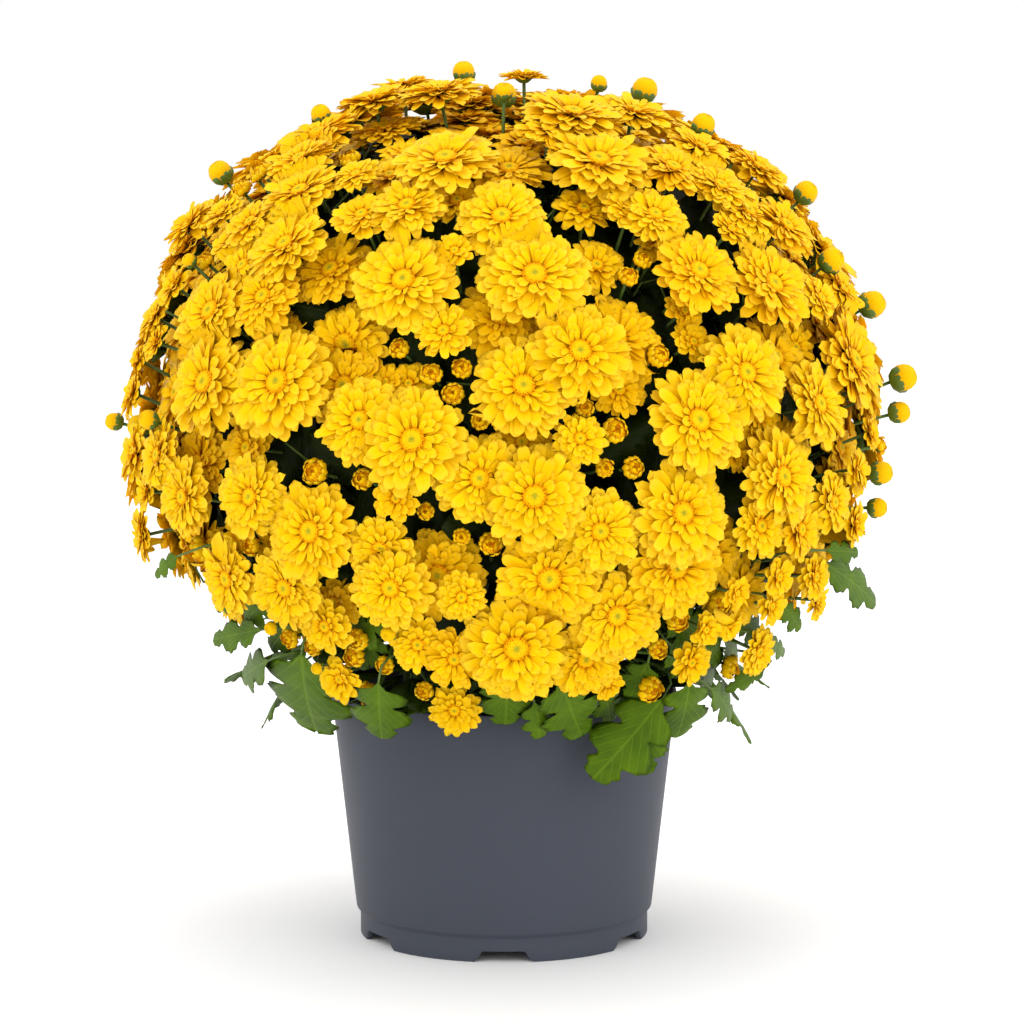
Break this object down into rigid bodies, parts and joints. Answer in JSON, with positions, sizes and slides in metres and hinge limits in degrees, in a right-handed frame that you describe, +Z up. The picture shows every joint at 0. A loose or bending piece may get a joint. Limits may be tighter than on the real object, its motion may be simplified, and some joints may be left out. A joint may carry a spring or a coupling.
{
  "type": "pot chrysanthemum",
  "caption": "Rounded dome of layered yellow daisy-like blooms, half-open and closed buds on branching leafy stems, in a tapered round grower's pot of soil.",
  "frame": {"origin": "on the ground, on the pot's axis, at the height of the foot ring's underside", "axes": "+Z up along the pot's axis, and the side of the plant that the picture shows faces -Y"},
  "size_m": [0.4363, 0.4316, 0.4761],
  "materials": {
    "flower": "soft matte petals",
    "foliage": "matte green leaves and stems",
    "pot": "satin slate-grey plastic",
    "soil": "rough dark potting soil"
  },
  "bodies": {
    "root": {"flower_spray_01": "flower", "flower_spray_02": "flower", "flower_spray_03": "flower", "flower_spray_04": "flower", "flower_spray_05": "flower", "flower_spray_06": "flower", "flower_spray_07": "flower", "flower_spray_08": "flower", "flower_spray_09": "flower", "flower_spray_10": "flower", "flower_spray_11": "flower", "flower_spray_12": "flower", "flower_spray_13": "flower", "flower_spray_14": "flower", "flower_spray_15": "flower", "flower_spray_16": "flower", "flower_spray_17": "flower", "flower_spray_18": "flower", "flower_spray_19": "flower", "flower_spray_20": "flower", "flower_spray_21": "flower", "flower_spray_22": "flower", "flower_spray_23": "flower", "flower_spray_24": "flower", "flower_spray_25": "flower", "flower_spray_26": "flower", "flower_spray_27": "flower", "flower_spray_28": "flower", "flower_spray_29": "flower", "flower_spray_30": "flower", "flower_spray_31": "flower", "flower_spray_32": "flower", "flower_spray_33": "flower", "flower_spray_34": "flower", "flower_spray_35": "flower", "flower_spray_36": "flower", "flower_spray_37": "flower", "flower_spray_38": "flower", "flower_spray_39": "flower", "flower_spray_40": "flower", "flower_spray_41": "flower", "flower_spray_42": "flower", "flower_spray_43": "flower", "flower_spray_44": "flower", "flower_spray_45": "flower", "flower_spray_46": "flower", "leafy_stem_01": "foliage", "leafy_stem_02": "foliage", "leafy_stem_03": "foliage", "leafy_stem_04": "foliage", "leafy_stem_05": "foliage", "leafy_stem_06": "foliage", "leafy_stem_07": "foliage", "leafy_stem_08": "foliage", "leafy_stem_09": "foliage", "leafy_stem_10": "foliage", "leafy_stem_11": "foliage", "leafy_stem_12": "foliage", "pot": "pot", "soil": "soil"}
  },
  "joints": []
}
